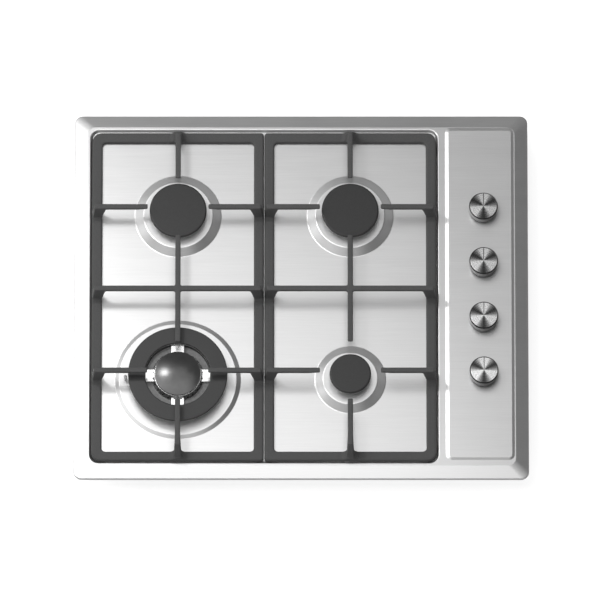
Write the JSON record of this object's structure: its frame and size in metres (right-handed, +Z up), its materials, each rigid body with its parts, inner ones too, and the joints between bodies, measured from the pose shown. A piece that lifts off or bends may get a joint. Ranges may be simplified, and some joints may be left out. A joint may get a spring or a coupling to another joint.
{
  "type": "gas cooktop",
  "caption": "Built-in gas cooktop: steel top plate with a sunk well and side control panel, cast pan supports, burners, push-and-turn knobs, and gas parts in a tray below.",
  "frame": {"origin": "middle of the plate's width and depth, at the flat underside of the bottom tray", "axes": "+X to the right towards the control panel, +Y to the rear, +Z up"},
  "size_m": [0.6, 0.51, 0.095],
  "materials": {
    "brushed_steel": "brushed across the width",
    "zinc_steel": "zinc coated",
    "cast_iron": "matt enamelled casting",
    "matt_enamel": "matt enamel",
    "gloss_enamel": "gloss enamel",
    "cast_aluminium": "die cast",
    "bright_aluminium": "machined",
    "turned_steel": "turned",
    "brass": "machined",
    "black_plastic": "moulded",
    "seal_rubber": "foam",
    "white_ceramic": "glazed"
  },
  "bodies": {
    "root": {"top_plate": "brushed_steel", "rim_seal": "seal_rubber", "bottom_tray": "zinc_steel", "burner_cup_rear_left": "cast_aluminium", "burner_cup_rear_right": "cast_aluminium", "burner_cup_front_left": "cast_aluminium", "burner_cup_front_right": "cast_aluminium", "injector_rear_left": "brass", "injector_rear_right": "brass", "injector_front_left": "brass", "injector_front_right": "brass", "spark_electrode_rear_left": "white_ceramic", "spark_electrode_rear_right": "white_ceramic", "spark_electrode_front_left": "white_ceramic", "spark_electrode_front_right": "white_ceramic", "gas_pipe_rear_left": "bright_aluminium", "gas_pipe_rear_right": "bright_aluminium", "gas_pipe_front_left": "bright_aluminium", "gas_pipe_front_right": "bright_aluminium", "gas_rail": "zinc_steel", "gas_inlet": "brass", "tap_body_1": "brass", "tap_body_2": "brass", "tap_body_3": "brass", "tap_body_4": "brass", "knob_collar_1": "black_plastic", "knob_collar_2": "black_plastic", "knob_collar_3": "black_plastic", "knob_collar_4": "black_plastic", "spark_generator": "black_plastic", "supply_gland": "black_plastic", "fixing_clamp_1": "zinc_steel", "fixing_clamp_2": "zinc_steel", "fixing_clamp_3": "zinc_steel", "fixing_clamp_4": "zinc_steel"},
    "support_left": {"pan_support_left": "cast_iron"},
    "support_right": {"pan_support_right": "cast_iron"},
    "crown_rear_left": {"burner_crown_rear_left": "bright_aluminium"},
    "crown_rear_right": {"burner_crown_rear_right": "bright_aluminium"},
    "crown_front_left": {"burner_crown_front_left": "bright_aluminium"},
    "crown_front_right": {"burner_crown_front_right": "bright_aluminium"},
    "cap_rear_left": {"burner_cap_rear_left": "matt_enamel"},
    "cap_rear_right": {"burner_cap_rear_right": "matt_enamel"},
    "cap_front_right": {"burner_cap_front_right": "matt_enamel"},
    "ring_cap": {"burner_ring_cap": "matt_enamel"},
    "centre_cap": {"burner_centre_cap": "gloss_enamel"},
    "plug_1": {"tap_plug_1": "brass"},
    "plug_2": {"tap_plug_2": "brass"},
    "plug_3": {"tap_plug_3": "brass"},
    "plug_4": {"tap_plug_4": "brass"},
    "knob_1": {"knob_1": "turned_steel", "tap_spindle_1": "zinc_steel"},
    "knob_2": {"knob_2": "turned_steel", "tap_spindle_2": "zinc_steel"},
    "knob_3": {"knob_3": "turned_steel", "tap_spindle_3": "zinc_steel"},
    "knob_4": {"knob_4": "turned_steel", "tap_spindle_4": "zinc_steel"}
  },
  "joints": [
    {"name": "support_left_lift", "type": "slide", "parent": "root", "child": "support_left", "axis": [0, 0, 1], "range_m": [0, 0.1]},
    {"name": "support_right_lift", "type": "slide", "parent": "root", "child": "support_right", "axis": [0, 0, 1], "range_m": [0, 0.1]},
    {"name": "crown_rear_left_lift", "type": "slide", "parent": "root", "child": "crown_rear_left", "axis": [0, 0, 1], "range_m": [0, 0.0035]},
    {"name": "crown_rear_right_lift", "type": "slide", "parent": "root", "child": "crown_rear_right", "axis": [0, 0, 1], "range_m": [0, 0.0035]},
    {"name": "crown_front_left_lift", "type": "slide", "parent": "root", "child": "crown_front_left", "axis": [0, 0, 1], "range_m": [0, 0.0035]},
    {"name": "crown_front_right_lift", "type": "slide", "parent": "root", "child": "crown_front_right", "axis": [0, 0, 1], "range_m": [0, 0.0035]},
    {"name": "cap_rear_left_lift", "type": "slide", "parent": "crown_rear_left", "child": "cap_rear_left", "axis": [0, 0, 1], "range_m": [0, 0.004]},
    {"name": "cap_rear_right_lift", "type": "slide", "parent": "crown_rear_right", "child": "cap_rear_right", "axis": [0, 0, 1], "range_m": [0, 0.004]},
    {"name": "cap_front_right_lift", "type": "slide", "parent": "crown_front_right", "child": "cap_front_right", "axis": [0, 0, 1], "range_m": [0, 0.004]},
    {"name": "ring_cap_lift", "type": "slide", "parent": "crown_front_left", "child": "ring_cap", "axis": [0, 0, 1], "range_m": [0, 0.004]},
    {"name": "centre_cap_lift", "type": "slide", "parent": "crown_front_left", "child": "centre_cap", "axis": [0, 0, 1], "range_m": [0, 0.004]},
    {"name": "knob_1_turn", "type": "hinge", "parent": "root", "child": "plug_1", "pos_m": [0.241, -0.1113, 0.029], "axis": [0, 0, 1], "range_deg": [0, 210]},
    {"name": "knob_2_turn", "type": "hinge", "parent": "root", "child": "plug_2", "pos_m": [0.241, -0.0345, 0.029], "axis": [0, 0, 1], "range_deg": [0, 210]},
    {"name": "knob_3_turn", "type": "hinge", "parent": "root", "child": "plug_3", "pos_m": [0.241, 0.0423, 0.029], "axis": [0, 0, 1], "range_deg": [0, 210]},
    {"name": "knob_4_turn", "type": "hinge", "parent": "root", "child": "plug_4", "pos_m": [0.241, 0.1191, 0.029], "axis": [0, 0, 1], "range_deg": [0, 210]},
    {"name": "knob_1_push", "type": "slide", "parent": "plug_1", "child": "knob_1", "axis": [0, 0, -1], "range_m": [0, 0.004], "stiffness_N_per_m": 1500, "springref_m": -0.003},
    {"name": "knob_2_push", "type": "slide", "parent": "plug_2", "child": "knob_2", "axis": [0, 0, -1], "range_m": [0, 0.004], "stiffness_N_per_m": 1500, "springref_m": -0.003},
    {"name": "knob_3_push", "type": "slide", "parent": "plug_3", "child": "knob_3", "axis": [0, 0, -1], "range_m": [0, 0.004], "stiffness_N_per_m": 1500, "springref_m": -0.003},
    {"name": "knob_4_push", "type": "slide", "parent": "plug_4", "child": "knob_4", "axis": [0, 0, -1], "range_m": [0, 0.004], "stiffness_N_per_m": 1500, "springref_m": -0.003}
  ]
}
